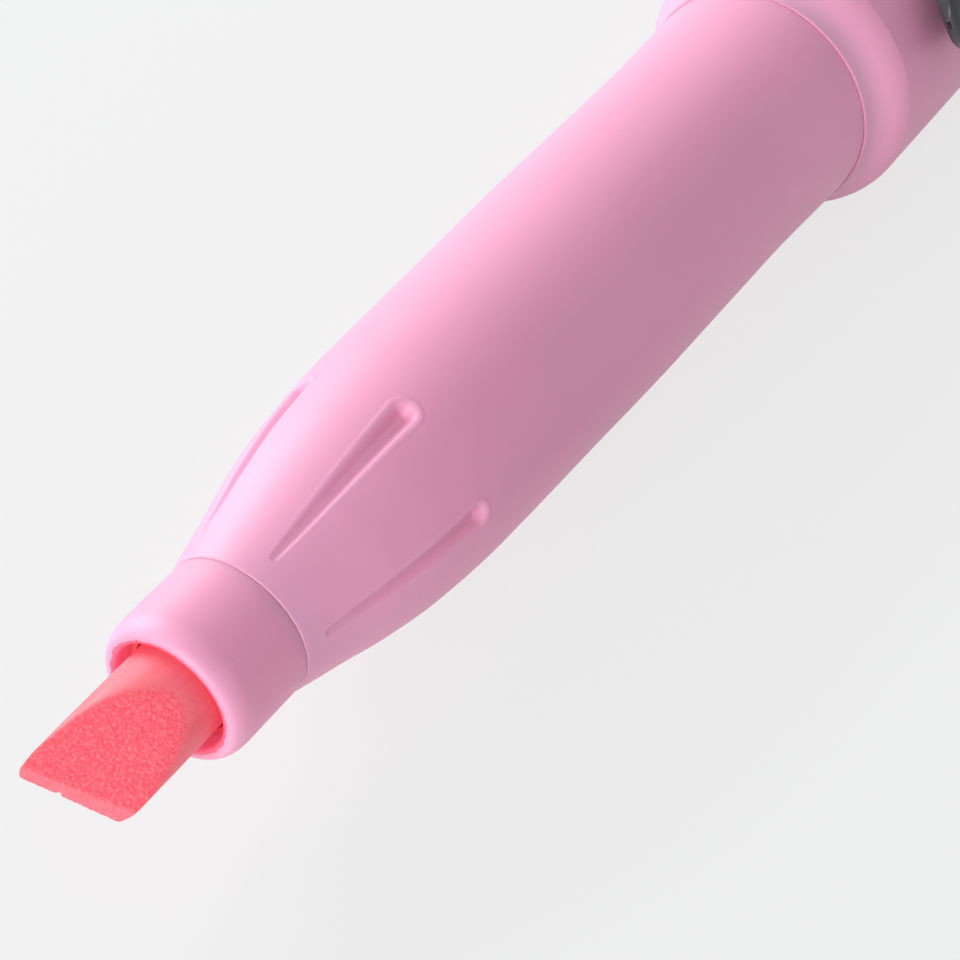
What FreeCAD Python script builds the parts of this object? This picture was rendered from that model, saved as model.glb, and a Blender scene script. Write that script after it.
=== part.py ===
import FreeCAD, Part
import math
import os

# A push-button highlighter. The pen's axis is X and the nib points to -X. Stations along the
# axis are measured from the front rim of the nose. The row's origin is on the axis, at the
# middle of the straight stretch of the grip. Angles round the axis run from +Y towards +Z.

Vector = FreeCAD.Vector
AXIS = Vector(1, 0, 0)

# Nose and nib, which the photograph shows
nose_length = 4.5
nose_radius = 3.40
nose_bore_radius = 2.58
lip_outer_length = 1.1
lip_outer_height = 0.45
lip_inner_round = 0.22
nib_radius = 2.19
nib_reach = 6.25
nib_slant = 0.38
nib_end_thickness = 0.65
nib_end_middle = -0.675
nib_end_slope = 0.3
facet_angle = 120.6
facet_slope = 1.7
back_facet_slope = 1.2

# Grip, which the photograph shows
parting_step = 0.06
grip_wall = 1.25
grip_start = 31.0
grip_end = 40.0
grip_mouth_step = 0.23
flare_shape = ((0.106, 0.293), (0.177, 0.498), (0.294, 0.738), (0.449, 0.882), (0.736, 0.948))
groove_count = 6
groove_angle = 47.6
groove_front = 5.1
groove_length = 9.3
groove_radius = 0.62
groove_depth = 0.34
pip_station = 41.2
pip_angle = 169.6
pip_length = 1.3
pip_radius = 0.28
pip_proud = 0.04

# Rear barrel, whose front end the photograph shows
joint_station = 47.6
rear_wall_at_collar = 0.95
shoulder_run = 2.6
mouth_lip_depth = 1.4
mouth_lip_face = 0.12
spigot_length = 12.0

# Inside the nose: seal, its ring and the spring
nose_spigot_wall = 0.47
nose_spigot_length = 3.1
seal_wall = 0.22
seal_set_back = 0.9
seal_flange_radius = 3.38
seal_flange_thickness = 0.8
seal_ring_thickness = 0.9
seal_ring_radius = 3.42
spring_wire_radius = 0.25
spring_mean_radius = 3.35
spring_turns = 8
spring_gap_radial = 0.27
spring_length = 15.3

# Ink cartridge
holder_front_room = 2.1
holder_wall = 0.64
holder_shoulder_length = 3.4
holder_spigot_length = 5.0
nib_in_core = 2.6
nib_core_gap = 0.15
reservoir_radius = 4.2
reservoir_wall = 0.5
reservoir_length = 56.0
core_end_room = 0.5
plug_spigot_length = 1.9
plug_cap_length = 2.0
plug_boss_radius = 1.25
plug_boss_length = 1.6
vent_radius = 0.4
o_ring_section = 0.34
o_ring_sliding_fit = 0.04
o_ring_groove_room = 0.04
joint_ring_set_back = 1.6

# Push mechanism
travel = 13.5
over_travel = 1.4
guide_slot_depth = 0.65
guide_wall = 0.55
guide_gap = 0.22
guide_front_skirt = 8.0
guide_slot_count = 4
guide_slot_width = 1.8
guide_back_wall = 2.5
guide_stop_room = 0.2
guide_proud = 0.2
rotor_radius = 4.1
rotor_length = 8.0
rotor_rib_front = 2.0
rotor_rib_length = 4.0
rib_width = 1.5
crown_teeth = 8
crown_tooth_depth = 0.8
plunger_length = 13.0
plunger_wall = 1.8
plunger_rib_front = 1.0
plunger_rib_length = 4.0
plunger_spigot_length = 3.0
button_radius = 4.2
button_wall = 0.8
button_reach = 6.0
button_end_thickness = 2.4
button_round = 0.9
disc_radius = 2.9
disc_thickness = 0.9
disc_proud = 0.12

# End collar and clip, which are not in view
collar_length = 9.0
collar_spigot_length = 8.0
collar_spigot_wall = 0.66
collar_round = 1.4
collar_flats = 6
collar_corner_proud = 0.4
collar_lead = 0.8
clip_angle = 150
clip_front_run = 4.7
clip_reach = 45.2
clip_foot_length = 5.0
clip_foot_width = 3.4
clip_width = 4.0
clip_standoff = 1.1
clip_root_thickness = 1.7
clip_tip_thickness = 1.1
clip_tip_rise = 0.3
clip_tip_round = 0.4
clip_root_round = 0.6
clip_bead_run = 2.8
clip_bead_half_length = 2.0
clip_bead_gap = 0.35
clip_ramp_start = 4.0
clip_ramp_end = 2.2
clip_lift_room = 0.30
clip_slot_room = 0.25

# Fits
slip_fit = 0.02
running_fit = 0.10
cartridge_gap = 0.30
face_gap = 0.20

# Stations worked out from the sizes above
origin_station = (grip_start + grip_end) / 2
nose_spigot_end = nose_length + nose_spigot_length
seal_flange_end = nose_spigot_end + seal_flange_thickness
seal_ring_end = seal_flange_end + seal_ring_thickness
spring_front = seal_ring_end
spring_rear = spring_front + spring_length
holder_front = seal_ring_end + holder_front_room
holder_shoulder_end = spring_rear + holder_shoulder_length
holder_end = holder_shoulder_end + holder_spigot_length
core_front = holder_end + face_gap
nib_rear = core_front + nib_in_core
reservoir_end = holder_shoulder_end + reservoir_length
core_rear = reservoir_end - plug_spigot_length - core_end_room
plug_end = reservoir_end + plug_cap_length
rotor_front = plug_end
rotor_end = rotor_front + rotor_length
ledge_station = rotor_front + rotor_rib_front + rotor_rib_length
plunger_front = rotor_end + face_gap
plunger_rib_end = plunger_front + plunger_rib_front + plunger_rib_length
plunger_end = plunger_front + plunger_length
slot_end = plunger_rib_end + travel + guide_stop_room
guide_front = ledge_station - guide_front_skirt
guide_end = slot_end + guide_back_wall
rear_end = guide_end - guide_proud
collar_end = rear_end + collar_length
button_end = collar_end + button_reach
button_front = plunger_end - plunger_spigot_length
spigot_shoulder = joint_station + mouth_lip_depth
spigot_end = spigot_shoulder + spigot_length
clip_front = joint_station + clip_front_run
clip_foot_station = clip_front + clip_reach
clip_bead_station = clip_front + clip_bead_run

# Radii worked out from the sizes above
nose_spigot_radius = nose_bore_radius + nose_spigot_wall
spring_bore_radius = spring_mean_radius + spring_wire_radius + spring_gap_radial
cartridge_bore_radius = reservoir_radius + cartridge_gap
reservoir_bore_radius = reservoir_radius - reservoir_wall
holder_radius = nib_radius + slip_fit + holder_wall
seal_bore_radius = nib_radius + running_fit
seal_sleeve_radius = seal_bore_radius + seal_wall
guide_bore_radius = button_radius + running_fit
collar_bore_radius = button_radius + running_fit
guide_slot_radius = guide_bore_radius + guide_slot_depth
guide_outer_radius = guide_slot_radius + guide_wall
rib_top_radius = guide_slot_radius - running_fit
rear_bore_radius = guide_outer_radius + guide_gap
front_spigot_radius = rear_bore_radius - slip_fit
grip_mouth_radius = front_spigot_radius + grip_mouth_step
grip_radius = cartridge_bore_radius + grip_wall
mouth_radius = grip_mouth_radius + slip_fit
collar_spigot_radius = guide_outer_radius + slip_fit + collar_spigot_wall
rear_radius = collar_spigot_radius + slip_fit + rear_wall_at_collar
collar_corner_radius = rear_radius + collar_corner_proud
clip_underside = rear_radius + clip_standoff
clip_root_top = clip_underside + clip_root_thickness
clip_tip_top = clip_underside + clip_tip_thickness
joint_ring_radius = rear_bore_radius - slip_fit
cartridge_ring_radius = cartridge_bore_radius - o_ring_sliding_fit
joint_ring_station = spigot_shoulder + joint_ring_set_back
cartridge_ring_station = spring_rear + holder_shoulder_length / 2


def point(station, radius):
    return Vector(station, 0, radius)


def turned(*stretches):
    """Turns an outline round the axis. A stretch is a corner, an arc through three points,
    or a smooth curve through more, which runs level at its last point."""
    edges = []
    ends = []
    for stretch in stretches:
        places = [point(*place) for place in stretch]
        if len(places) == 3:
            edges.append(Part.Arc(*places).toShape())
        if len(places) > 3:
            curve = Part.BSplineCurve()
            slope = places[1] - places[0]
            curve.interpolate(Points=places, InitialTangent=slope, FinalTangent=AXIS)
            edges.append(curve.toShape())
        ends.append((places[0], places[-1]))
    for (_, last), (first, _) in zip(ends, ends[1:] + ends[:1]):
        if last.distanceToPoint(first) > 1e-7:
            edges.append(Part.makeLine(last, first))
    wire = Part.Wire(Part.sortEdges(edges)[0])
    return Part.Face(wire).revolve(Vector(0, 0, 0), AXIS, 360)


def tube(front, rear, outer, inner):
    shape = Part.makeCylinder(outer, rear - front, point(front, 0), AXIS)
    if inner > 0:
        shape = shape.cut(Part.makeCylinder(inner, rear - front, point(front, 0), AXIS))
    return shape


def turn(shape, angle):
    """Turns a copy of a piece that was drawn along +Z to an angle round the axis."""
    turned_copy = shape.copy()
    turned_copy.rotate(Vector(0, 0, 0), AXIS, angle - 90)
    return turned_copy


def round_the_axis(shape, count, first_angle):
    return [turn(shape, first_angle + 360 * step / count) for step in range(count)]


def radial_bar(front, rear, inner, outer, width):
    """A straight bar along the axis, standing out from it towards +Z."""
    return Part.makeBox(rear - front, width, outer - inner, Vector(front, -width / 2, inner))


def ribs(front, rear, outer):
    """Sliding ribs with crowned tops, one for each slot of the guide."""
    bar = radial_bar(front, rear, 0, outer + 1, rib_width)
    bars = round_the_axis(bar, guide_slot_count, 90)
    return bars[0].fuse(bars[1:]).common(tube(front, rear, outer, 0))


def crown_notches(station, inward):
    """V-shaped notches across an end face, cut towards inward (1 or -1)."""
    half = math.pi * rotor_radius / crown_teeth
    depth = crown_tooth_depth * inward
    corners = [
        Vector(station, -half, 0),
        Vector(station, half, 0),
        Vector(station + depth, 0, 0),
    ]
    face = Part.Face(Part.makePolygon(corners + corners[:1]))
    notch = face.extrude(Vector(0, 0, rotor_radius * 2))
    notches = round_the_axis(notch, crown_teeth, 90)
    return notches[0].fuse(notches[1:])


def o_ring(station, outer):
    return Part.makeTorus(outer - o_ring_section, o_ring_section, point(station, 0), AXIS)


def o_ring_groove(station, outer):
    """The room that a groove gives to the ring of that outer radius, open outwards."""
    half = o_ring_section + o_ring_groove_room
    bottom = outer - 2 * o_ring_section - o_ring_groove_room
    return tube(station - half, station + half, outer + 1, bottom)


def make_nose_tip():
    inner = lip_inner_round
    slant = 1 - math.sqrt(0.5)
    outer_front = nose_radius - lip_outer_height
    return turned(
        [
            (inner, nose_bore_radius),
            (inner * slant, nose_bore_radius + inner * slant),
            (0, nose_bore_radius + inner),
        ],
        [
            (0, outer_front),
            (lip_outer_length * slant, nose_radius - lip_outer_height * slant),
            (lip_outer_length, nose_radius),
        ],
        [(nose_length, nose_radius)],
        [(nose_length, nose_spigot_radius)],
        [(nose_spigot_end, nose_spigot_radius)],
        [(nose_spigot_end, nose_bore_radius)],
    )


def flare_outline():
    start = (nose_length, nose_radius + parting_step)
    rise = grip_radius - start[1]
    run = grip_start - start[0]
    middle = [(start[0] + along * run, start[1] + up * rise) for along, up in flare_shape]
    return [start] + middle + [(grip_start, grip_radius)]


def flare_radius(station):
    """Radius of the flare at a station, on straight lines between its points."""
    outline = flare_outline()
    for (x0, r0), (x1, r1) in zip(outline, outline[1:]):
        if x0 <= station <= x1:
            return r0 + (r1 - r0) * (station - x0) / (x1 - x0)
    return grip_radius


def groove_cutter():
    """A dimple that starts as a point near the nose and ends wide and round."""
    rear = groove_front + groove_length - groove_radius
    front_height = flare_radius(groove_front)
    rear_height = flare_radius(rear) - groove_depth + groove_radius
    front = point(groove_front, front_height + groove_radius / 4)
    back = point(rear, rear_height)
    along = back - front
    small = groove_radius / 5
    cone = Part.makeCone(small, groove_radius, along.Length, front, along)
    ball = Part.makeSphere(groove_radius, back)
    return cone.fuse(ball)


def make_front_barrel():
    seal_bore = seal_ring_radius + 2 * slip_fit
    spring_bore_end = spring_rear - over_travel - face_gap
    body = turned(
        flare_outline(),
        [(grip_end, grip_radius)],
        [(joint_station, grip_mouth_radius)],
        [(spigot_shoulder, grip_mouth_radius)],
        [(spigot_shoulder, front_spigot_radius)],
        [(spigot_end, front_spigot_radius)],
        [(spigot_end, cartridge_bore_radius)],
        [(spring_bore_end, cartridge_bore_radius)],
        [(spring_bore_end, spring_bore_radius)],
        [(seal_ring_end, spring_bore_radius)],
        [(seal_ring_end, seal_bore)],
        [(nose_spigot_end, seal_bore)],
        [(nose_spigot_end, nose_spigot_radius + slip_fit)],
        [(nose_length, nose_spigot_radius + slip_fit)],
    )
    body = body.cut(o_ring_groove(joint_ring_station, joint_ring_radius))
    body = body.cut(round_the_axis(groove_cutter(), groove_count, groove_angle))
    pip_height = grip_radius + pip_proud
    pip_start = point(pip_station - pip_length / 2, pip_height)
    pip = Part.makeCylinder(pip_radius, pip_length, pip_start, AXIS)
    for end in (pip_start, pip_start + AXIS * pip_length):
        pip = pip.fuse(Part.makeSphere(pip_radius, end))
    return body.fuse(turn(pip, pip_angle)).removeSplitter()


def make_slit_seal():
    front = seal_set_back
    return turned(
        [(front, seal_bore_radius)],
        [(front, seal_sleeve_radius)],
        [(nose_spigot_end, seal_sleeve_radius)],
        [(nose_spigot_end, seal_flange_radius)],
        [(seal_flange_end, seal_flange_radius)],
        [(seal_flange_end, seal_bore_radius)],
    )


def make_seal_ring():
    return tube(seal_flange_end, seal_ring_end, seal_ring_radius, seal_sleeve_radius)


def make_nib():
    """A round felt rod with a blunt slanted end, a long facet and a short one behind it."""
    reach = 2 * nib_radius
    low = nib_end_middle - nib_end_thickness / 2
    high = nib_end_middle + nib_end_thickness / 2
    low_front = -nib_reach + nib_slant * math.sqrt(nib_radius**2 - low**2)
    high_front = low_front + nib_end_slope * (high - low)
    facet_end = high_front + facet_slope * (reach - high)
    back_end = low_front + back_facet_slope * (reach + low)
    corners = [
        point(low_front, low),
        point(high_front, high),
        point(facet_end, reach),
        point(nib_rear, reach),
        point(nib_rear, -reach),
        point(back_end, -reach),
    ]
    face = Part.Face(Part.makePolygon(corners + corners[:1]))
    face.translate(Vector(nib_slant * reach, -reach, 0))
    kept = face.extrude(Vector(-nib_slant, 1, 0) * 2 * reach)
    kept = kept.fuse(tube(nib_rear - 2 * reach, nib_rear, nib_radius, 0))
    rod = tube(-nib_reach, nib_rear, nib_radius, 0)
    return rod.common(turn(kept, facet_angle)).removeSplitter()


def make_nib_holder():
    bore = nib_radius + slip_fit
    nose = holder_wall / 2
    body = turned(
        [(holder_front, bore)],
        [(holder_front, holder_radius - nose)],
        [(holder_front + nose, holder_radius)],
        [(spring_rear, holder_radius)],
        [(spring_rear, reservoir_radius)],
        [(holder_shoulder_end, reservoir_radius)],
        [(holder_shoulder_end, reservoir_bore_radius - slip_fit)],
        [(holder_end, reservoir_bore_radius - slip_fit)],
        [(holder_end, bore)],
    )
    return body.cut(o_ring_groove(cartridge_ring_station, cartridge_ring_radius))


def make_cartridge_ring():
    return o_ring(cartridge_ring_station, cartridge_ring_radius)


def make_joint_ring():
    return o_ring(joint_ring_station, joint_ring_radius)


def make_reservoir_tube():
    return tube(holder_shoulder_end, reservoir_end, reservoir_radius, reservoir_bore_radius)


def make_ink_core():
    core = tube(core_front, core_rear, reservoir_bore_radius - running_fit, 0)
    return core.cut(tube(core_front, nib_rear + nib_core_gap, nib_radius + slip_fit, 0))


def make_reservoir_plug():
    spigot = reservoir_bore_radius - slip_fit
    body = tube(reservoir_end - plug_spigot_length, reservoir_end, spigot, 0)
    body = body.fuse(tube(reservoir_end, plug_end, reservoir_radius, 0))
    body = body.fuse(tube(plug_end, plug_end + plug_boss_length, plug_boss_radius, 0))
    front = reservoir_end - plug_spigot_length
    vent = tube(front, plug_end + plug_boss_length, vent_radius, 0)
    return body.cut(vent).removeSplitter()


def spring_path():
    """A helix of half turns, each an arc pair, with straight ends across the axis."""
    pitch = (spring_length - 4 * spring_wire_radius) / spring_turns
    start = spring_front + 2 * spring_wire_radius
    points = []
    steps = 8 * spring_turns
    for step in range(steps + 1):
        angle = 2 * math.pi * step / 8
        station = start + pitch * step / 8
        radius = spring_mean_radius
        points.append(Vector(station, radius * math.cos(angle), radius * math.sin(angle)))
    edges = []
    for first, middle, last in zip(points[::2], points[1::2], points[2::2]):
        edges.append(Part.Arc(first, middle, last).toShape())
    return Part.Wire(edges), points


def spring_gap():
    """Least clear gap between neighbouring coils, measured on points one turn apart."""
    path, points = spring_path()
    gaps = []
    for index, place in enumerate(points[:-6]):
        later = points[index + 6:]
        gaps.append(min(place.distanceToPoint(other) for other in later))
    return min(gaps) - 2 * spring_wire_radius


def make_return_spring():
    path, points = spring_path()
    tangent = path.Edges[0].tangentAt(path.Edges[0].FirstParameter)
    circle = Part.makeCircle(spring_wire_radius, points[0], tangent)
    return path.makePipeShell([Part.Wire(circle)], True, False)


def make_rear_barrel():
    """Its front end flares out from the grip in an S-shaped shoulder."""
    counterbore = collar_spigot_radius + slip_fit
    counterbore_front = rear_end - collar_spigot_length - face_gap
    face_top = mouth_radius + mouth_lip_face
    shoulder = []
    for quarter in range(5):
        share = quarter / 4
        height = face_top + (rear_radius - face_top) * share * share * (3 - 2 * share)
        shoulder.append((joint_station + shoulder_run * share, height))
    body = turned(
        [(joint_station, mouth_radius)],
        shoulder[:3],
        shoulder[2:],
        [(rear_end, rear_radius)],
        [(rear_end, counterbore)],
        [(counterbore_front, counterbore)],
        [(counterbore_front, rear_bore_radius)],
        [(spigot_shoulder, rear_bore_radius)],
        [(spigot_shoulder, mouth_radius)],
    )
    slot = radial_bar(
        clip_foot_station - clip_foot_length / 2 - clip_slot_room,
        clip_foot_station + clip_foot_length / 2 + clip_slot_room,
        rear_bore_radius - 1,
        rear_radius + 1,
        clip_foot_width + 2 * clip_slot_room,
    )
    return body.cut(turn(slot, clip_angle))


def make_guide_sleeve():
    skirt = tube(guide_front, ledge_station, guide_outer_radius, guide_slot_radius)
    guide = tube(ledge_station, guide_end, guide_outer_radius, guide_bore_radius)
    slot = radial_bar(ledge_station, slot_end, 0, guide_slot_radius + 1, guide_slot_width)
    slots = round_the_axis(slot, guide_slot_count, 90)
    cutter = slots[0].fuse(slots[1:]).common(tube(ledge_station, slot_end, guide_slot_radius, 0))
    return skirt.fuse(guide.cut(cutter)).removeSplitter()


def make_cam_rotor():
    rib_front = rotor_front + rotor_rib_front
    body = tube(rotor_front, rotor_end, rotor_radius, 0)
    body = body.fuse(ribs(rib_front, rib_front + rotor_rib_length, rib_top_radius))
    socket_end = rotor_front + plug_boss_length + face_gap
    body = body.cut(tube(rotor_front, socket_end, plug_boss_radius + running_fit, 0))
    return body.cut(crown_notches(rotor_end, -1)).removeSplitter()


def make_plunger():
    rib_front = plunger_front + plunger_rib_front
    bore = button_radius - plunger_wall
    neck = button_radius - button_wall - slip_fit
    body = tube(plunger_front, button_front, button_radius, 0)
    body = body.fuse(tube(button_front, plunger_end, neck, 0))
    body = body.fuse(ribs(rib_front, rib_front + plunger_rib_length, rib_top_radius))
    body = body.cut(tube(plunger_front + plunger_wall, plunger_end, bore, 0))
    return body.cut(crown_notches(plunger_front, 1)).removeSplitter()


def make_knock_button():
    round_over = button_round
    slant = 1 - math.sqrt(0.5)
    bore = button_radius - button_wall
    recess = disc_radius + slip_fit
    recess_floor = button_end - disc_thickness
    return turned(
        [(button_front, bore)],
        [(button_front, button_radius)],
        [
            (button_end - round_over, button_radius),
            (button_end - round_over * slant, button_radius - round_over * slant),
            (button_end, button_radius - round_over),
        ],
        [(button_end, recess)],
        [(recess_floor, recess)],
        [(recess_floor, 0)],
        [(button_end - button_end_thickness, 0)],
        [(button_end - button_end_thickness, bore)],
    )


def make_button_disc():
    return tube(button_end - disc_thickness, button_end + disc_proud, disc_radius, 0)


def make_end_collar():
    """Six flats, one of them in line with the clip, keep the pen from rolling."""
    round_over = collar_round
    corner = collar_corner_radius
    slant = 1 - math.sqrt(0.5)
    guide_seat = guide_outer_radius + slip_fit
    front = rear_end - collar_spigot_length
    body = turned(
        [(front, guide_seat)],
        [(front, collar_spigot_radius)],
        [(rear_end, collar_spigot_radius)],
        [(rear_end, rear_radius)],
        [(rear_end + collar_lead, corner)],
        [
            (collar_end - round_over, corner),
            (collar_end - round_over * slant, corner - round_over * slant),
            (collar_end, corner - round_over),
        ],
        [(collar_end, collar_bore_radius)],
        [(guide_end, collar_bore_radius)],
        [(guide_end, guide_seat)],
    )
    half_turn = math.pi / collar_flats
    prism_corner = point(front, rear_radius / math.cos(half_turn))
    marker = Part.Vertex(prism_corner)
    corners = [
        turn(marker, clip_angle + math.degrees(half_turn) * (2 * side + 1)).Point
        for side in range(collar_flats)
    ]
    hexagon = Part.Face(Part.makePolygon(corners + corners[:1]))
    return body.common(hexagon.extrude(AXIS * (collar_end - front))).removeSplitter()


def make_clip():
    """A flat spring arm with a foot through the barrel's wall and a bead under its tip."""
    foot_front = clip_foot_station - clip_foot_length / 2
    foot_rear = clip_foot_station + clip_foot_length / 2
    lifted = rear_radius + clip_lift_room
    bead = [
        point(clip_bead_station - clip_bead_half_length, clip_underside),
        point(clip_bead_station, rear_radius + clip_bead_gap),
        point(clip_bead_station + clip_bead_half_length, clip_underside),
    ]
    corners = [
        bead[2],
        point(foot_front - clip_ramp_start, clip_underside),
        point(foot_front - clip_ramp_end, lifted),
        point(foot_rear, lifted),
        point(foot_rear, clip_root_top - clip_root_round),
        point(foot_rear - clip_root_round, clip_root_top),
        point(foot_front - clip_ramp_start, clip_root_top),
        point(clip_front + clip_tip_round, clip_tip_top),
        point(clip_front, clip_tip_top - clip_tip_round),
        point(clip_front, clip_underside + clip_tip_rise),
        bead[0],
    ]
    edges = [Part.Arc(*bead).toShape()]
    for first, last in zip(corners, corners[1:]):
        edges.append(Part.makeLine(first, last))
    arm = Part.Face(Part.Wire(edges)).extrude(Vector(0, clip_width, 0))
    arm.translate(Vector(0, -clip_width / 2, 0))
    tip_round = point(clip_front + clip_width / 2, 0)
    outline = Part.makeCylinder(clip_width / 2, 2 * clip_root_top, tip_round, Vector(0, 0, 1))
    straight = radial_bar(tip_round.x, foot_rear, 0, 2 * clip_root_top, clip_width)
    arm = arm.common(outline.fuse(straight))
    foot_bottom = guide_outer_radius + 2 * face_gap
    foot = radial_bar(foot_front, foot_rear, foot_bottom, clip_underside, clip_foot_width)
    return turn(arm.fuse(foot).removeSplitter(), clip_angle)


PIECES = {
    "nose_tip": make_nose_tip,
    "front_barrel": make_front_barrel,
    "slit_seal": make_slit_seal,
    "seal_ring": make_seal_ring,
    "joint_o_ring": make_joint_ring,
    "return_spring": make_return_spring,
    "nib": make_nib,
    "nib_holder": make_nib_holder,
    "cartridge_o_ring": make_cartridge_ring,
    "reservoir_tube": make_reservoir_tube,
    "ink_core": make_ink_core,
    "reservoir_plug": make_reservoir_plug,
    "rear_barrel": make_rear_barrel,
    "guide_sleeve": make_guide_sleeve,
    "cam_rotor": make_cam_rotor,
    "plunger": make_plunger,
    "knock_button": make_knock_button,
    "button_disc": make_button_disc,
    "end_collar": make_end_collar,
    "clip": make_clip,
}

os.makedirs("parts", exist_ok=True)
for name, make in PIECES.items():
    solid = make()
    solid.translate(Vector(-origin_station, 0, 0))
    solid.exportStep("parts/" + name + ".step")
    box = solid.BoundBox
    print(name, len(solid.Solids), solid.isValid(), round(solid.Volume, 2))
    print("   x", round(box.XMin, 2), round(box.XMax, 2), "z", round(box.ZMin, 2), round(box.ZMax, 2))
print("least gap between the spring's coils", round(spring_gap(), 3), "mm")
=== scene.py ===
import math

import bpy
import numpy as np
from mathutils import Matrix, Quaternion, Vector, noise


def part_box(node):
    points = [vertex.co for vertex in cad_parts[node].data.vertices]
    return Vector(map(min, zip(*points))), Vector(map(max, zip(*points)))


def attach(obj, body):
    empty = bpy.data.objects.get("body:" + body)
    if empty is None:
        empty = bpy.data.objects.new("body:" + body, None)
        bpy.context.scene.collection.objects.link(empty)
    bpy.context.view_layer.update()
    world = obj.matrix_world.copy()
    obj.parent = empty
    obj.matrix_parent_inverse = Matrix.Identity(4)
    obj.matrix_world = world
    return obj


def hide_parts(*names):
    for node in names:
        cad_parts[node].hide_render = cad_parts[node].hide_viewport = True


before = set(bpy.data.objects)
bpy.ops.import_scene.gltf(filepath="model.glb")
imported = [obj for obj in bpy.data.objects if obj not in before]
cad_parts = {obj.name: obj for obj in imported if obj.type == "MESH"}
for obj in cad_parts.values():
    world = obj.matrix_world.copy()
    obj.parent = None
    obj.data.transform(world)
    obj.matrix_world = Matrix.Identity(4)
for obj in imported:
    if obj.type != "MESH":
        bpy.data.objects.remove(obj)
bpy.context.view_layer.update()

MM = 0.001
MICRON = 0.000001
NOSE_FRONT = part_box("nose_tip")[0][0]
FLOOR_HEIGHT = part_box("rear_barrel")[0][2]

# The camera, fitted to the photograph: a pinhole 100 mm from the front rim of the nose
CAMERA_FROM_NOSE = (-50.28, -47.07, 74.01)
VIEW_AZIMUTH = 33.015
VIEW_DROP = 42.754
VIEW_ROLL = -0.398
FOCAL_PIXELS = 2600
PHOTO_WIDTH = 960
SENSOR_WIDTH = 36.0
NEAREST_SEEN = 0.005

# Sizes below are in millimetres, and stations are measured back from the front rim of the
# nose. Angles round the pen's axis are in degrees from +Y towards +Z. Slopes of the felt's
# cut faces are stations per millimetre across the rod.
NOSE_LENGTH = 4.5
NOSE_RADIUS = 3.40
NOSE_BORE = 2.58
NOSE_SPIGOT = (3.05, 7.6)
LIP_INNER_ROUND = 0.22
LIP_FACE_EDGE = 2.95
LIP_LENGTH = 1.1
MOULD_LINE_ANGLE = 134.3
NIB_RADIUS = 2.19
NIB_REACH = 6.25
NIB_REAR = 35.8
NIB_SLANT = 0.38
NIB_END = (-1.0, -0.35)
NIB_END_SLOPE = 0.3
FACET_SLOPE = 1.7
FACET_SKEW = 0.1
BACK_FACET_SLOPE = 1.2
FACET_ANGLE = 120.6
GRIP_RADIUS = 5.75
GRIP_START = 31.0
GRIP_END = 40.0
MOUTH_RADIUS = 5.93
JOINT_STATION = 47.6
FLARE_SHAPE = ((0.106, 0.293), (0.177, 0.498), (0.294, 0.738), (0.449, 0.882), (0.736, 0.948))
GROOVE_COUNT = 6
GROOVE_ANGLE = 48.6
GROOVE_FRONT = 5.5
GROOVE_REAR = 14.3
PIP_ANGLE = 169.6
PIP_STATION = 41.2
REAR_RADIUS = 7.15
REAR_END = 115.2
GUIDE_END = 115.4
GUIDE_SEAT = 5.53
COLLAR_END = 124.2
COLLAR_CORNER_RADIUS = 7.55
COLLAR_FLATS = 6
BUTTON_RADIUS = 4.2
BUTTON_BORE = 3.4
BUTTON_START = 107.0
BUTTON_END = 130.2
DISC_RADIUS = 2.9
DISC_FLOOR = 129.3
DISC_TOP = 130.32
CLIP_ANGLE = 150
CLIP_FRONT = 52.3
CLIP_BEAD = 55.1
CLIP_FOOT = (95.0, 100.0)
CLIP_WIDTH = 4.0
CLIP_STANDOFF = 1.1

# Colours are linear
PINK = (0.935, 0.385, 0.57)
CORAL = (0.82, 0.10, 0.14)
CORAL_SKIN = (0.80, 0.18, 0.22)
CORAL_GLOW = (1.0, 0.10, 0.14, 1)
INK = (0.70, 0.10, 0.19)
INK_GLOW = (0.85, 0.13, 0.24, 1)
DARK_GREY = (0.045, 0.045, 0.052)
CUT_STOPS = ((0.34, (0.80, 0.065, 0.10)), (0.5, CORAL), (0.70, (0.90, 0.20, 0.24)))
SKIN_STOPS = ((0.36, (0.78, 0.145, 0.185)), (0.64, CORAL_SKIN))
INK_STOPS = ((0.35, (0.64, 0.07, 0.14)), (0.65, (0.72, 0.12, 0.21)))


def smooth_step(low, high, value):
    """0 below low, 1 above high, with a smooth rise between."""
    along = np.clip((np.asarray(value, float) - low) / (high - low), 0.0, 1.0)
    return along * along * (3 - 2 * along)


def grain(x, y, z, size, octaves=2, seed=0.0):
    """Smooth noise from -1 to 1 at places in millimetres, with grains of the given size."""
    roughness = 1.0
    fineness = 2.0
    shape = np.broadcast_shapes(np.shape(x), np.shape(y), np.shape(z))
    places = [np.broadcast_to(axis, shape).ravel() / size + seed for axis in (x, y, z)]
    values = [
        noise.fractal(Vector(place), roughness, fineness, octaves, noise_basis="PERLIN_ORIGINAL")
        for place in zip(*places)
    ]
    return np.array(values).reshape(shape)


def curve_through(points, places):
    """A smooth curve through points that never overshoots them."""
    x, y = np.array(points, float).T
    step = np.diff(x)
    rise = np.diff(y) / step
    slope = np.zeros(len(x))
    for i in range(1, len(x) - 1):
        if rise[i - 1] * rise[i] > 0:
            before = 2 * step[i] + step[i - 1]
            after = step[i] + 2 * step[i - 1]
            slope[i] = (before + after) / (before / rise[i - 1] + after / rise[i])
    steeper_start = 1.1
    slope[0] = rise[0] * steeper_start
    places = np.asarray(places, float)
    i = np.clip(np.searchsorted(x, places) - 1, 0, len(step) - 1)
    u = (places - x[i]) / step[i]
    return (
        y[i] * (1 + 2 * u) * (1 - u) ** 2
        + slope[i] * step[i] * u * (1 - u) ** 2
        + y[i + 1] * u * u * (3 - 2 * u)
        + slope[i + 1] * step[i] * u * u * (u - 1)
    )


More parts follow.
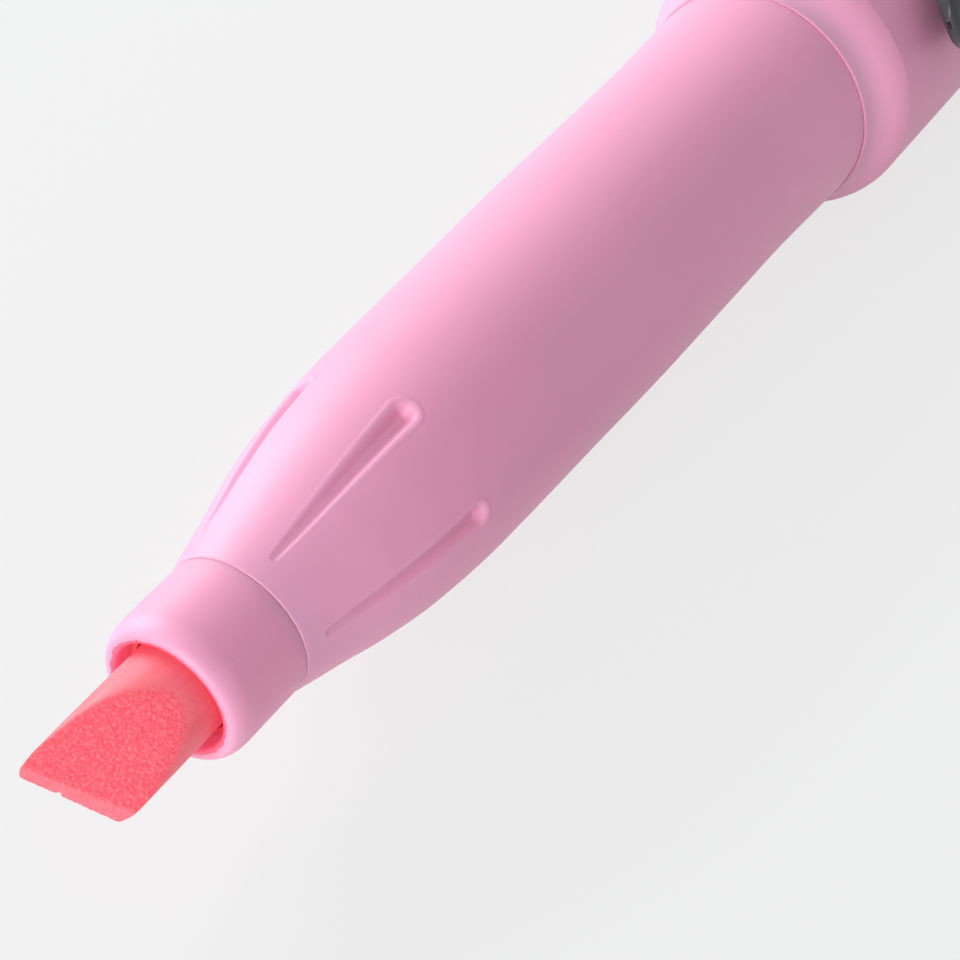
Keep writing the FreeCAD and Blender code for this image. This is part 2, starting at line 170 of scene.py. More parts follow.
def make_piece(name, body, vertices, faces, materials, face_materials=None):
    """A smooth-shaded mesh object from places in metres, riding on a body."""
    mesh = bpy.data.meshes.new(name)
    mesh.from_pydata([tuple(vertex) for vertex in vertices], [], faces)
    for material in materials:
        mesh.materials.append(material)
    mesh.polygons.foreach_set("use_smooth", [True] * len(mesh.polygons))
    if face_materials is not None:
        mesh.polygons.foreach_set("material_index", face_materials)
    mesh.update()
    piece = bpy.data.objects.new(name, mesh)
    bpy.context.scene.collection.objects.link(piece)
    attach(piece, body)
    return piece


def wrapped_faces(rows, columns, closed=False):
    """Quads of a grid whose columns go round the axis, and whose rows may close too."""
    index = np.arange(rows * columns).reshape(rows, columns)
    if closed:
        index = np.vstack([index, index[:1]])
    beside = np.roll(index, -1, axis=1)
    quads = np.stack([index[:-1], index[1:], beside[1:], beside[:-1]], axis=-1)
    return quads.reshape(-1, 4)


def round_places(stations, radii, angles):
    """Places in metres on rings round the axis, from grids of stations and radii."""
    shape = np.broadcast_shapes(np.shape(stations), np.shape(radii), np.shape(angles))
    t, r, a = (np.broadcast_to(grid, shape) for grid in (stations, radii, angles))
    x = NOSE_FRONT + t * MM
    return np.stack([x, r * np.cos(a) * MM, r * np.sin(a) * MM], axis=-1).reshape(-1, 3)


def angles_round(count):
    return np.arange(count) * 2 * math.pi / count


def rounded(corners, steps=6):
    """A closed outline from corners (station, radius, rounding), with the corners rounded and
    points beside each rounding that keep the faces next to it flat."""
    beside = 0.3
    points = []
    for number, (station, radius, size) in enumerate(corners):
        here = Vector((station, radius))
        if not size:
            points.append(here)
            continue
        before = Vector(corners[number - 1][:2]) - here
        after = Vector(corners[(number + 1) % len(corners)][:2]) - here
        reach = size / math.tan(before.angle(after) / 2)
        first = here + before.normalized() * reach
        last = here + after.normalized() * reach
        points.append(first + before.normalized() * size * beside)
        for share in np.linspace(0, 1, steps):
            near = first.lerp(here, share)
            points.append(near.lerp(here.lerp(last, share), share))
        points.append(last + after.normalized() * size * beside)
    return np.array([tuple(point) for point in points])


def make_turned(name, body, outline, material, columns=256):
    """A piece of revolution from a closed outline of stations and radii."""
    angle = angles_round(columns)[None, :]
    vertices = round_places(outline[:, :1], outline[:, 1:], angle)
    faces = wrapped_faces(len(outline), columns, closed=True).tolist()
    return make_piece(name, body, vertices, faces, [material])


# Materials


def new_material(name, colour, roughness, **sockets):
    material = bpy.data.materials.new(name)
    material.use_nodes = True
    shader = material.node_tree.nodes["Principled BSDF"]
    shader.inputs["Base Color"].default_value = (*colour, 1)
    shader.inputs["Roughness"].default_value = roughness
    for socket, value in sockets.items():
        shader.inputs[socket.replace("_", " ")].default_value = value
    return material


class Nodes:
    """Short ways to add shader nodes to one material."""

    def __init__(self, material):
        self.tree = material.node_tree
        self.shader = self.tree.nodes["Principled BSDF"]

    def add(self, kind, **values):
        node = self.tree.nodes.new(kind)
        for key, value in values.items():
            if hasattr(node, key):
                setattr(node, key, value)
            else:
                node.inputs[key.replace("_", " ")].default_value = value
        return node

    def link(self, output, socket):
        self.tree.links.new(output, socket)

    def place(self):
        return self.add("ShaderNodeTexCoord").outputs["Object"]

    def noise(self, scale, detail=3.0, stretch=None):
        source = self.place()
        if stretch:
            mapping = self.add("ShaderNodeMapping")
            mapping.inputs["Scale"].default_value = stretch
            self.link(source, mapping.inputs["Vector"])
            source = mapping.outputs["Vector"]
        texture = self.add("ShaderNodeTexNoise", Scale=scale, Detail=detail)
        self.link(source, texture.inputs["Vector"])
        return texture.outputs["Fac"]

    def ramp(self, value, stops):
        ramp = self.add("ShaderNodeValToRGB")
        elements = ramp.color_ramp.elements
        while len(elements) < len(stops):
            elements.new(0.5)
        for element, (position, colour) in zip(elements, stops):
            element.position = position
            element.color = (*colour, 1)
        self.link(value, ramp.inputs["Fac"])
        return ramp.outputs["Color"]

    def bump(self, height, distance, strength=1.0, under=None):
        node = self.add("ShaderNodeBump", Strength=strength, Distance=distance)
        self.link(height, node.inputs["Height"])
        if under:
            self.link(under, node.inputs["Normal"])
        return node.outputs["Normal"]

    def math(self, operation, first, second=None):
        node = self.add("ShaderNodeMath", operation=operation)
        for value, socket in ((first, node.inputs[0]), (second, node.inputs[1])):
            if value is None:
                continue
            if isinstance(value, (int, float)):
                socket.default_value = value
            else:
                self.link(value, socket)
        return node.outputs["Value"]

    def mix(self, factor, first, second):
        node = self.add("ShaderNodeMix", data_type="RGBA")
        self.link(factor, node.inputs["Factor"])
        for value, socket in ((first, node.inputs["A"]), (second, node.inputs["B"])):
            sockets = [s for s in node.inputs if s.name == socket.name and s.type == "RGBA"]
            if isinstance(value, tuple):
                sockets[0].default_value = (*value, 1)
            else:
                self.link(value, sockets[0])
        outputs = [s for s in node.outputs if s.type == "RGBA"]
        return outputs[0]


def pink_plastic():
    """Milky injection-moulded plastic: soft gloss, faint flow marks, some light inside it."""
    name = "milky_pink"
    if name in bpy.data.materials:
        return bpy.data.materials[name]
    roughness = 0.46
    material = new_material(
        name, PINK, roughness, Subsurface_Weight=0.3, Specular_IOR_Level=0.42
    )
    nodes = Nodes(material)
    nodes.shader.inputs["Subsurface Radius"].default_value = (1.0, 0.35, 0.45)
    nodes.shader.inputs["Subsurface Scale"].default_value = 3.5 * MM
    flow_shade = 0.97
    lengthwise = (0.25, 1, 1)
    flow = nodes.noise(90, 2.0, lengthwise)
    deeper = tuple(channel * flow_shade for channel in PINK)
    colour = nodes.ramp(flow, [(0.35, deeper), (0.65, PINK)])
    nodes.link(colour, nodes.shader.inputs["Base Color"])
    fine = nodes.noise(5200, 2.0)
    nodes.link(nodes.bump(fine, 4 * MICRON, 0.5), nodes.shader.inputs["Normal"])
    return material


def felt():
    """Felt soaked in fluorescent ink, with a fixed glow that is painted light: it keeps the felt
    bright also where no lamp reaches it. Where it is cut, as the mesh's cut attribute says, it is
    deeper in colour and rougher."""
    roughness = 0.55
    material = new_material("ink_felt", CORAL, roughness, Subsurface_Weight=0.25)
    nodes = Nodes(material)
    nodes.shader.inputs["Subsurface Radius"].default_value = (1.0, 0.25, 0.25)
    nodes.shader.inputs["Subsurface Scale"].default_value = 0.6 * MM
    # Painted light: a fixed glow that brightens the felt even in shade
    nodes.shader.inputs["Emission Color"].default_value = CORAL_GLOW
    nodes.shader.inputs["Emission Strength"].default_value = 0.18
    cut = nodes.add("ShaderNodeAttribute", attribute_name="cut").outputs["Fac"]
    cut_colour = nodes.ramp(nodes.noise(8200, 4.0), CUT_STOPS)
    streaks = (0.2, 1, 1)
    skin_colour = nodes.ramp(nodes.noise(2600, 4.0, streaks), SKIN_STOPS)
    nodes.link(nodes.mix(cut, skin_colour, cut_colour), nodes.shader.inputs["Base Color"])
    long_fibres = nodes.noise(7000, 3.0, (0.15, 1, 1))
    skin = nodes.bump(long_fibres, 6 * MICRON, 0.5)
    tangle = nodes.bump(nodes.noise(9500, 4.0), 22 * MICRON, 0.7, under=skin)
    nodes.link(tangle, nodes.shader.inputs["Normal"])
    return material


def wet_ink():
    """Ink in a thin wet film, lighter and darker where it has pooled, with a fixed glow that is
    painted light: it keeps the ink bright in the shade of the bore.
    """
    roughness = 0.4
    material = new_material("wet_ink", INK, roughness)
    nodes = Nodes(material)
    # Painted light: a fixed glow that brightens the ink even in shade
    nodes.shader.inputs["Emission Color"].default_value = INK_GLOW
    nodes.shader.inputs["Emission Strength"].default_value = 0.30
    shade = nodes.ramp(nodes.noise(1800, 3.0), INK_STOPS)
    nodes.link(shade, nodes.shader.inputs["Base Color"])
    return material


def plain_plastic(name, colour, roughness):
    """Moulded plastic, rubber or fibre with a fine grain."""
    material = new_material(name, colour, roughness)
    nodes = Nodes(material)
    fine = nodes.noise(3800, 3.0)
    nodes.link(nodes.bump(fine, 6 * MICRON, 0.5), nodes.shader.inputs["Normal"])
    return material


def spring_steel():
    """Drawn wire."""
    roughness = 0.25
    return new_material("spring_steel", (0.62, 0.62, 0.63), roughness, Metallic=1.0)


def dress(node, material):
    """Give every surface of a CAD node one material."""
    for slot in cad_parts[node].material_slots:
        slot.material = material


def dress_nodes():
    """Materials for all the CAD nodes, also those that a finer piece stands for."""
    pink = pink_plastic()
    white = plain_plastic("white_plastic", (0.82, 0.82, 0.80), 0.45)
    natural = plain_plastic("natural_plastic", (0.74, 0.75, 0.73), 0.4)
    grey = plain_plastic("dark_grey", DARK_GREY, 0.36)
    rubber = plain_plastic("ring_rubber", (0.02, 0.02, 0.02), 0.6)
    seal = plain_plastic("seal_rubber", (0.80, 0.09, 0.11), 0.5)
    fibre = plain_plastic("ink_fibre", (0.88, 0.24, 0.30), 0.9)
    steel = spring_steel()
    for names, material in (
        ("rear_barrel end_collar button_disc", pink),
        ("seal_ring nib_holder reservoir_plug plunger", white),
        ("reservoir_tube guide_sleeve cam_rotor", natural),
        ("knock_button clip", grey),
        ("joint_o_ring cartridge_o_ring", rubber),
        ("slit_seal", seal),
        ("ink_core", fibre),
        ("return_spring", steel),
    ):
        for name in names.split():
            dress(name, material)


# Pieces that stand for CAD nodes, with the finer forms of the real ones


def felt_outside(station, along, across):
    """How far outside the cut felt a place is, how far outside its cut faces alone, and the
    share of the blunt end in them. The edges are softened, less so at the tip. along points to
    the facet and across to its left."""
    tip_softness = 0.03
    added_softness = 0.12
    softer_behind_tip = (0.4, 2.2)
    blunt_edge = (-0.10, 0.02)
    low, high = NIB_END
    start = -NIB_REACH + NIB_SLANT * math.sqrt(NIB_RADIUS**2 - low**2) - NIB_SLANT * across
    end = start + NIB_END_SLOPE * (along - low)
    facet = start + NIB_END_SLOPE * (high - low) + FACET_SLOPE * (along - high)
    facet = facet + FACET_SKEW * across
    back = start + BACK_FACET_SLOPE * (low - along)
    cuts = [
        (front - station) / math.hypot(1, slope)
        for front, slope in ((end, NIB_END_SLOPE), (facet, FACET_SLOPE), (back, BACK_FACET_SLOPE))
    ]
    side = np.hypot(along, across) - NIB_RADIUS
    behind_tip = smooth_step(*softer_behind_tip, station - start)
    softness = tip_softness + added_softness * behind_tip
    stack = np.stack(cuts + [side]) / softness
    top = stack.max(axis=0)
    outside = softness * (top + np.log(np.exp(stack - top).sum(axis=0)))
    blunt = smooth_step(*blunt_edge, cuts[0] - np.maximum(cuts[1], cuts[2]))
    return outside, np.stack(cuts).max(axis=0), blunt


def make_felt_nib():
    """The felt rod. Its front is found along rays from a point on the axis behind the cuts."""
    columns = 440
    rings = 230
    side_rows = 70
    heart = 1.2
    longest_ray = 9.5
    halvings = 28
    first_ring = 0.002
    ring_spread = 1.5
    side_spread = 2.2
    quarter = math.pi / 2
    angle = angles_round(columns)[None, :]
    polar = (quarter * np.linspace(first_ring, 1, rings) ** ring_spread)[:, None]
    turned = angle - math.radians(FACET_ANGLE)
    near = np.zeros((rings, columns))
    far = np.full((rings, columns), longest_ray)
    for _ in range(halvings):
        reach = (near + far) / 2
        radius = reach * np.sin(polar)
        place = (heart - reach * np.cos(polar), radius * np.cos(turned), -radius * np.sin(turned))
        outside, cut_depth, blunt = felt_outside(*place)
        near = np.where(outside < 0, reach, near)
        far = np.where(outside < 0, far, reach)
    station, along, across = place
    wave_size = 0.30
    pit_size = 0.13
    pit_octaves = 3
    pit_seed = 5.0
    ragged = grain(station, along, across, wave_size)
    pits = grain(station, along, across, pit_size, pit_octaves, pit_seed)
    cut_edge = (-0.20, -0.02)
    edge_wander = 0.03
    tip_end = (-NIB_REACH + 0.3, -NIB_REACH + 1.6)
    cut = smooth_step(*cut_edge, cut_depth + edge_wander * ragged)
    tip = 1 - smooth_step(*tip_end, station)
    nick_across = 0.42
    nick_width = 0.10
    nick_length = 0.15
    nick_depth = 0.14
    low = NIB_END[0]
    nick = -(((across - nick_across) / nick_width) ** 2) - ((along - low) / nick_length) ** 2
    skin_pits = 0.004
    cut_pits = 0.024
    tip_waves = 0.02
    pit_depth = skin_pits + cut_pits * cut
    bumps = pit_depth * pits + tip_waves * tip * ragged - nick_depth * np.exp(nick) * tip
    # Painted highlight: the blunt end face gets a lower cut share, so it is painted paler, as if
    # the front lamp caught it
    painted_end_highlight = 0.6
    smooth_from = 0.93
    cut = cut * (1 - painted_end_highlight * blunt)
    reach = reach + bumps * smooth_step(1.0, smooth_from, polar / quarter)
    front = heart - reach * np.cos(polar)
    front_radius = reach * np.sin(polar)
    share = (np.arange(1, side_rows + 1) / side_rows)[:, None] ** side_spread
    side = np.broadcast_to(heart + (NIB_REAR - heart) * share, (side_rows, columns))
    stations = np.vstack([front, side])
    radii = np.vstack([front_radius, np.full(side.shape, NIB_RADIUS)])
    vertices = round_places(stations, radii, angle)
    rows = rings + side_rows
    faces = wrapped_faces(rows, columns).tolist()
    faces.append(list(range(columns))[::-1])
    faces.append(list(range((rows - 1) * columns, rows * columns)))
    piece = make_piece("felt_nib", "cartridge", vertices, faces, [felt()])
    shares = piece.data.attributes.new("cut", "FLOAT", "POINT")
    shares.data.foreach_set("value", np.vstack([cut, np.zeros(side.shape)]).ravel())
    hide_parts("nib")


def lip_place(along):
    """Station and radius of a place on the lip, and which way its skin faces. along runs from
    the inner edge of the flat face, over the rounding and down the bore; it is below 0 on the
    face."""
    bend = np.clip(along / LIP_INNER_ROUND, 0, math.pi / 2)
    past = np.clip(along - LIP_INNER_ROUND * math.pi / 2, 0, None)
    station = LIP_INNER_ROUND * (1 - np.cos(bend)) + past
    radius = NOSE_BORE + LIP_INNER_ROUND * (1 - np.sin(bend)) - np.clip(along, None, 0)
    return station, radius, -np.cos(bend), -np.sin(bend)


def make_ink_film():
    """Ink that has crept out of the bore, with a ragged front edge on the lip."""
    columns = 1200
    rows = 16
    row_spread = 2.2
    depth = 5.0
    mean_edge = 0.01
    furthest_edge = (-0.1, 0.3)
    sunk = 0.004
    full_thickness = 0.028
    edge_thickness = 0.4
    edge_steepness = 60
    angle = angles_round(columns)[None, :]
    y = NOSE_BORE * np.cos(angle)
    z = NOSE_BORE * np.sin(angle)
    scallops = 0.06 * grain(0, y, z, 0.12)
    creep = 0.04 * grain(3, y, z, 0.5)
    edge = np.clip(mean_edge + scallops + creep, *furthest_edge)
    share = (np.linspace(0, 1, rows) ** row_spread)[:, None]
    station, radius, forward, outward = lip_place(edge + (depth - edge) * share)
    thickness = full_thickness * np.minimum(1, edge_thickness + share * edge_steepness)
    skin = (station + thickness * forward, radius + thickness * outward)
    under = (station - sunk * forward, radius - sunk * outward)
    stations = np.vstack([under[0], skin[0][::-1]])
    radii = np.vstack([under[1], skin[1][::-1]])
    vertices = round_places(stations, radii, angle)
    faces = wrapped_faces(2 * rows, columns, closed=True).tolist()
    make_piece("ink_film", "barrel", vertices, faces, [wet_ink()])


def make_nose_shell():
    """The short tube round the nib, with its rolled lip and a faint lengthwise mould line."""
    columns = 480
    inner_steps = 8
    outer_steps = 28
    inner = [(station, NOSE_BORE) for station in (NOSE_SPIGOT[1], 4.0, 1.2, 0.4)]
    for bend in np.linspace(0, math.pi / 2, inner_steps):
        depth = LIP_INNER_ROUND * (1 - math.sin(bend))
        inner.append((depth, NOSE_BORE + LIP_INNER_ROUND * (1 - math.cos(bend))))
    outer = []
    for bend in np.linspace(math.pi / 2, 0, outer_steps):
        rise = (NOSE_RADIUS - LIP_FACE_EDGE) * math.cos(bend)
        outer.append((LIP_LENGTH * (1 - math.sin(bend)), LIP_FACE_EDGE + rise))
    body = [(station, NOSE_RADIUS) for station in (1.2, 1.6, 2.6, 3.6)]
    seam = [(4.40, 0), (4.46, 0.004), (4.485, 0.014), (NOSE_LENGTH, 0.03)]
    seam = [(station, NOSE_RADIUS - drop) for station, drop in seam]
    spigot = [(NOSE_LENGTH, NOSE_SPIGOT[0]), (NOSE_SPIGOT[1], NOSE_SPIGOT[0])]
    outline = np.array(inner + outer + body + seam + spigot)
    angle = angles_round(columns)[None, :]
    stations, radii = outline[:, :1], outline[:, 1:]
    line_lean = 1.3
    line_width = 1.1
    line_height = 0.02
    line_from = LIP_FACE_EDGE + 0.2
    turn = np.degrees(angle) - MOULD_LINE_ANGLE - line_lean * stations
    skin = smooth_step(line_from, NOSE_RADIUS, radii) * (stations < NOSE_LENGTH)
    radii = radii + line_height * skin * np.exp(-((turn / line_width) ** 2))
    vertices = round_places(stations, radii, angle)
    faces = wrapped_faces(len(outline), columns, closed=True).tolist()
    piece = make_piece("nose_shell", "barrel", vertices, faces, [pink_plastic()])
    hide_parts("nose_tip")


def groove_depth(stations, angles, radii):
    """How deep the finger grooves are at places on the grip. They widen and deepen towards
    their round rear ends."""
    narrowest = 0.20
    widening = 0.42
    shallowest = 0.03
    deepening = 0.42
    rear_round = 0.35
    front_round = 0.16
    wall = (0.22, 1.02)
    rim_height = 0.03
    rim_place = 1.2
    rim_width = 0.16
    depth = np.zeros(np.broadcast_shapes(stations.shape, angles.shape))
    held = np.clip((stations - GROOVE_FRONT) / (GROOVE_REAR - GROOVE_FRONT), 0, 1)
    half_width = narrowest + widening * held**0.8
    deepest = shallowest + deepening * held**0.7
    beyond = np.clip(stations - (GROOVE_REAR - rear_round), 0, None)
    before = np.clip(GROOVE_FRONT + front_round - stations, 0, None)
    for number in range(GROOVE_COUNT):
        middle = math.radians(GROOVE_ANGLE + 360 * number / GROOVE_COUNT)
        turn = (angles - middle + math.pi) % (2 * math.pi) - math.pi
        sideways = turn * radii
        off = np.sqrt(sideways**2 + beyond**2 + before**2) / half_width
        profile = 1 - smooth_step(*wall, off)
        rim = rim_height * held * np.exp(-(((off - rim_place) / rim_width) ** 2))
        depth = depth + deepest * profile - rim
    return depth


def make_grip_shell():
    """The flared grip with its grooves, its pip and its bores. Rings are closer together where
    the grooves and the pip are."""
    columns = 800
    step = 0.045
    flare = [(NOSE_LENGTH, NOSE_RADIUS + step)]
    run = GRIP_START - NOSE_LENGTH
    rise = GRIP_RADIUS - flare[0][1]
    flare += [(NOSE_LENGTH + a * run, flare[0][1] + b * rise) for a, b in FLARE_SHAPE]
    flare += [(GRIP_START, GRIP_RADIUS), (GRIP_END, GRIP_RADIUS), (JOINT_STATION, MOUTH_RADIUS)]
    rings = (
        (NOSE_LENGTH + 0.07, 15.2, 190),
        (15.3, 30.0, 60),
        (30.3, 40.2, 34),
        (40.25, 42.1, 46),
        (42.3, 49.0, 22),
    )
    skin = np.concatenate([np.linspace(*part) for part in rings])
    edge = ((NOSE_LENGTH, 0.05), (NOSE_LENGTH + 0.012, 0.018), (NOSE_LENGTH + 0.035, 0.004))
    skin_radii = curve_through(flare, np.clip(skin, None, JOINT_STATION))
    edge_radii = [curve_through(flare, [station])[0] - drop for station, drop in edge]
    stations = np.concatenate([[station for station, _ in edge], skin])[:, None]
    radii = np.concatenate([edge_radii, skin_radii])[:, None]
    angle = angles_round(columns)[None, :]
    outer = radii - groove_depth(stations, angle, radii)
    pip_width = 0.42
    pip_length = 0.8
    pip_height = 0.08
    turn = (angle - math.radians(PIP_ANGLE) + math.pi) % (2 * math.pi) - math.pi
    off = np.hypot(turn * radii / pip_width, (stations - PIP_STATION) / pip_length)
    outer = outer + pip_height * np.exp(-(off**2))
    bores = np.array([
        (49.0, 5.70), (61.0, 5.70), (61.0, 4.50), (21.0, 4.50), (21.0, 3.87),
        (9.3, 3.87), (9.3, 3.46), (7.6, 3.46), (7.6, 3.07), (NOSE_LENGTH, 3.07),
    ])
    all_stations = np.vstack([stations, bores[:, :1]])
    all_radii = np.vstack([outer, np.broadcast_to(bores[:, 1:], (len(bores), columns))])
    vertices = round_places(all_stations, all_radii, angle)
    faces = wrapped_faces(len(all_stations), columns, closed=True).tolist()
    piece = make_piece("grip_shell", "barrel", vertices, faces, [pink_plastic()])
    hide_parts("front_barrel")


def make_button():
    """The push button, and the domed cap let into its end."""
    axis_gap = 0.02
    recess = DISC_RADIUS + 0.05
    inner_end = BUTTON_END - 2.4
    outline = rounded([
        (BUTTON_START, BUTTON_RADIUS, 0.15),
        (BUTTON_END, BUTTON_RADIUS, 0.85),
        (BUTTON_END, recess, 0.12),
        (DISC_FLOOR, recess, 0.05),
        (DISC_FLOOR, axis_gap, 0),
        (inner_end, axis_gap, 0),
        (inner_end, BUTTON_BORE, 0.3),
        (BUTTON_START, BUTTON_BORE, 0.15),
    ])
    least_step = 0.00001
    outline = outline[np.append(True, np.hypot(*np.diff(outline, axis=0).T) > least_step)]
    piece = make_turned("button_shell", "button", outline, bpy.data.materials["dark_grey"])
    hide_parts("knock_button")
    crown = 0.1
    under = DISC_FLOOR + 0.02
    dome = [(crown * share**2, share) for share in np.linspace(0.01, 0.9, 8)]
    dome += [(0.11, 0.94), (0.14, 0.975), (0.19, 1.0)]
    outline = [(DISC_TOP - drop, DISC_RADIUS * share) for drop, share in dome]
    outline = np.array(outline + [(under, DISC_RADIUS), (under, 0.03)])
    piece = make_turned("button_cap", "button", outline, pink_plastic())
    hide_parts("button_disc")


def make_collar():
    """The collar with its six flats, which run out into a round lead and a rounded end."""
    columns = 576
    bore = BUTTON_RADIUS + 0.08
    spigot = 6.15
    spigot_front = REAR_END - 8.0
    softness = 0.05
    flats_outside = 6.3
    outline = rounded([
        (REAR_END, REAR_RADIUS - 0.02, 0.06),
        (REAR_END + 0.35, REAR_RADIUS, 0.05),
        (REAR_END + 1.1, COLLAR_CORNER_RADIUS, 0.4),
        (COLLAR_END, COLLAR_CORNER_RADIUS, 1.35),
        (COLLAR_END, bore, 0.22),
        (GUIDE_END, bore, 0),
        (GUIDE_END, GUIDE_SEAT, 0),
        (spigot_front, GUIDE_SEAT, 0.1),
        (spigot_front, spigot, 0.15),
        (REAR_END, spigot, 0),
    ])
    angle = angles_round(columns)[None, :]
    stations, radii = outline[:, :1], outline[:, 1:]
    sector = 2 * math.pi / COLLAR_FLATS
    off = (angle - math.radians(CLIP_ANGLE) + sector / 2) % sector - sector / 2
    flat = REAR_RADIUS / np.cos(off)
    least = -softness * np.logaddexp(-radii / softness, -flat / softness)
    radii = np.where(radii > flats_outside, least, radii)
    vertices = round_places(stations, radii, angle)
    faces = wrapped_faces(len(outline), columns, closed=True).tolist()
    piece = make_piece("collar_shell", "barrel", vertices, faces, [pink_plastic()])
    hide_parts("end_collar")


def clip_limits(station):
    """Under and upper side of the clip's arm, as distances from the pen's axis."""
    bead_half_length = 2.0
    bead_depth = 0.75
    bead_lead = 0.35
    tip_rise = 0.3
    tip_rise_run = 0.9
    lift_room = 0.3
    tip_thickness = 1.1
    added_thickness = 0.6
    under = REAR_RADIUS + CLIP_STANDOFF
    foot = CLIP_FOOT[0]
    bead = np.clip(1 - ((station - CLIP_BEAD) / bead_half_length) ** 2, 0, None)
    bottom = under - bead_depth * bead * smooth_step(0, bead_lead, bead)
    rise = 1 - smooth_step(CLIP_FRONT, CLIP_FRONT + tip_rise_run, station)
    bottom = bottom + tip_rise * rise
    ramp = smooth_step(foot - 4.2, foot - 2.0, station)
    bottom = bottom - (under - REAR_RADIUS - lift_room) * ramp
    along = np.clip((station - CLIP_FRONT) / (foot - 4.0 - CLIP_FRONT), 0, 1)
    return bottom, under + tip_thickness + added_thickness * along


def rounded_square(count, power):
    """Places round a square with rounded corners, from -1 to 1 in both directions."""
    turn = angles_round(count)
    cos, sin = np.cos(turn), np.sin(turn)
    return np.sign(cos) * np.abs(cos) ** power, np.sign(sin) * np.abs(sin) ** power


def closed_rings(rows, columns, first=0):
    """Faces of a row of rings and of its two ends, for vertices from number first on."""
    last = first + (rows - 1) * columns
    faces = (wrapped_faces(rows, columns) + first).tolist()
    faces.append(list(range(first, first + columns))[::-1])
    faces.append(list(range(last, last + columns)))
    return faces


def make_clip_arm():
    """A spring arm with rounded edges, a bead under its tip and a shallow channel on top, and
    the foot that holds it in the barrel's wall."""
    closer = 1.8
    tip_rows = CLIP_FRONT + 0.012 + 2.3 * np.linspace(0, 1, 26) ** closer
    end_rows = CLIP_FOOT[1] - 0.9 * np.linspace(1, 0, 16) ** closer
    runs = ((54.8, 58.0, 22), (58.5, 90.0, 64), (90.3, 98.9, 30))
    stations = np.concatenate([tip_rows] + [np.linspace(*run) for run in runs] + [end_rows])
    columns = 96
    side, height = rounded_square(columns, 0.4)
    half = CLIP_WIDTH / 2
    tip_round = 0.45
    rear_round = 0.6
    rear_thinning = 0.92
    crown = 0.10
    channel_depth = 0.16
    channel_edges = (1.05, 0.75)
    channel_front = (59.0, 60.0)
    channel_rear = (91.0, 90.0)
    vertices = []
    for station in stations:
        bottom, top = clip_limits(station)
        tip = np.clip((CLIP_FRONT + half - station) / half, 0, 1)
        lip = np.clip((CLIP_FRONT + tip_round - station) / tip_round, 0, 1)
        rear = np.clip((station - CLIP_FOOT[1] + rear_round) / rear_round, 0, 1)
        thin = math.sqrt(1 - lip**2) * math.sqrt(1 - rear_thinning * rear**2)
        across = half * math.sqrt(1 - tip**2) * side
        up = (bottom + top) / 2 + (top - bottom) / 2 * thin * height
        channel = smooth_step(*channel_edges, np.abs(across)) * (height > 0.5)
        channel = channel * smooth_step(*channel_front, station)
        channel = channel * smooth_step(*channel_rear, station)
        up = up - crown * (across / half) ** 2 * (height > 0) - channel_depth * channel
        vertices += [(station, sideways, outward) for sideways, outward in zip(across, up)]
    faces = closed_rings(len(stations), columns)
    foot_rings = 10
    foot_columns = 48
    foot_half_width = 1.7
    foot_front, foot_rear = CLIP_FOOT[0] + 0.02, CLIP_FOOT[1] - 0.1
    foot_bottom, foot_top = 6.3, REAR_RADIUS + 0.6
    faces += closed_rings(foot_rings, foot_columns, len(vertices))
    along, across = rounded_square(foot_columns, 0.3)
    along = (foot_front + foot_rear) / 2 + along * (foot_rear - foot_front) / 2
    for level in np.linspace(foot_bottom, foot_top, foot_rings):
        vertices += [(t, foot_half_width * s, level) for t, s in zip(along, across)]
    bearing = math.radians(CLIP_ANGLE)
    outward = np.array([0, math.cos(bearing), math.sin(bearing)])
    sideways = np.array([0, -math.sin(bearing), math.cos(bearing)])
    places = np.array(vertices)
    solid = places[:, 1:2] * sideways + places[:, 2:3] * outward
    solid[:, 0] = places[:, 0]
    solid = solid * MM + np.array([NOSE_FRONT, 0, 0])
    piece = make_piece("clip_arm", "clip", solid, faces, [bpy.data.materials["dark_grey"]])
    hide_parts("clip")


# Stage, light and camera


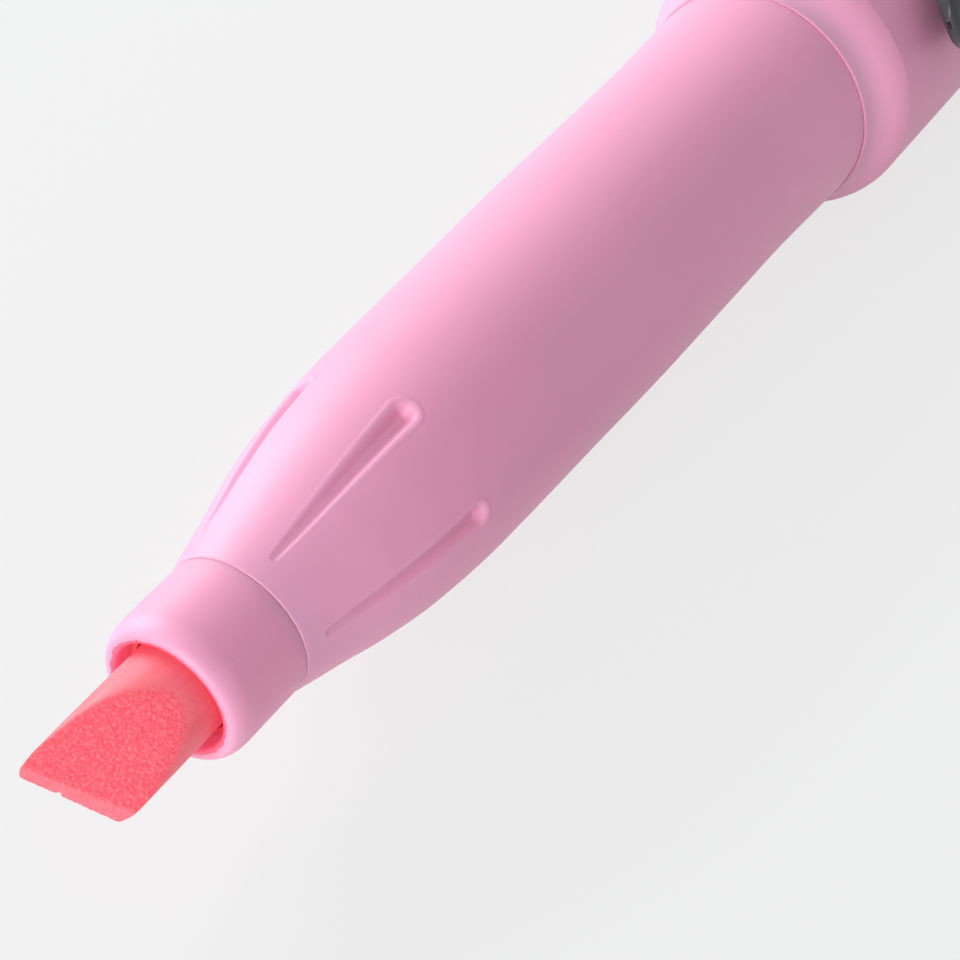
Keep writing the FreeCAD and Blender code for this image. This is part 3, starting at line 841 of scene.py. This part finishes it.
def make_floor():
    """A paper floor. The camera and mirror-like rays see it nearly as white as the photo's."""
    paper = (0.86, 0.86, 0.85)
    white = (0.87, 0.875, 0.88, 1)
    white_share = 0.86
    bpy.ops.mesh.primitive_plane_add(size=6, location=(0, 0, FLOOR_HEIGHT))
    floor = bpy.context.object
    floor.name = "floor"
    material = new_material("floor_paper", paper, 0.9)
    nodes = Nodes(material)
    glow = nodes.add("ShaderNodeEmission", Strength=1.0)
    glow.inputs["Color"].default_value = white
    rays = nodes.add("ShaderNodeLightPath").outputs
    seen = nodes.math("MAXIMUM", rays["Is Camera Ray"], rays["Is Glossy Ray"])
    share = nodes.math("MULTIPLY", seen, white_share)
    blend = nodes.add("ShaderNodeMixShader")
    nodes.link(share, blend.inputs["Fac"])
    nodes.link(nodes.shader.outputs["BSDF"], blend.inputs[1])
    nodes.link(glow.outputs["Emission"], blend.inputs[2])
    output = nodes.tree.nodes["Material Output"]
    nodes.link(blend.outputs["Shader"], output.inputs["Surface"])
    floor.data.materials.append(material)


def make_world():
    sky = (0.95, 0.96, 1.0, 1)
    strength = 0.47
    world = bpy.data.worlds.new("studio")
    bpy.context.scene.world = world
    world.use_nodes = True
    background = world.node_tree.nodes["Background"]
    background.inputs["Color"].default_value = sky
    background.inputs["Strength"].default_value = strength


def area_light(name, place, size, power, colour):
    """A round lamp that points at the origin. Places and sizes are in metres."""
    data = bpy.data.lights.new(name, "AREA")
    data.shape = "DISK"
    data.size = size
    data.energy = power
    data.color = colour
    lamp = bpy.data.objects.new(name, data)
    bpy.context.scene.collection.objects.link(lamp)
    lamp.location = place
    lamp.rotation_euler = (-Vector(place)).to_track_quat("-Z", "Y").to_euler()


def make_lights():
    area_light("key", (0.06, 0.37, 0.20), 0.32, 1.85, (1.0, 0.985, 0.96))
    area_light("front", (-0.45, 0.0, 0.12), 0.20, 1.4, (1, 1, 1))


def make_camera():
    data = bpy.data.cameras.new("camera")
    data.sensor_width = SENSOR_WIDTH
    data.lens = FOCAL_PIXELS / PHOTO_WIDTH * SENSOR_WIDTH
    data.clip_start = NEAREST_SEEN
    camera = bpy.data.objects.new("camera", data)
    bpy.context.scene.collection.objects.link(camera)
    camera.location = Vector((NOSE_FRONT, 0, 0)) + Vector(CAMERA_FROM_NOSE) * MM
    azimuth = math.radians(VIEW_AZIMUTH)
    drop = math.radians(VIEW_DROP)
    forward = Vector(
        (math.cos(azimuth) * math.cos(drop), math.sin(azimuth) * math.cos(drop), -math.sin(drop))
    )
    level = forward.to_track_quat("-Z", "Y")
    roll = Quaternion((0, 0, 1), math.radians(VIEW_ROLL))
    camera.rotation_euler = (level @ roll).to_euler()
    bpy.context.scene.camera = camera


dress_nodes()
make_felt_nib()
make_ink_film()
make_nose_shell()
make_grip_shell()
make_button()
make_collar()
make_clip_arm()
make_floor()
make_world()
make_lights()
make_camera()
bpy.context.scene.view_settings.view_transform = "Standard"
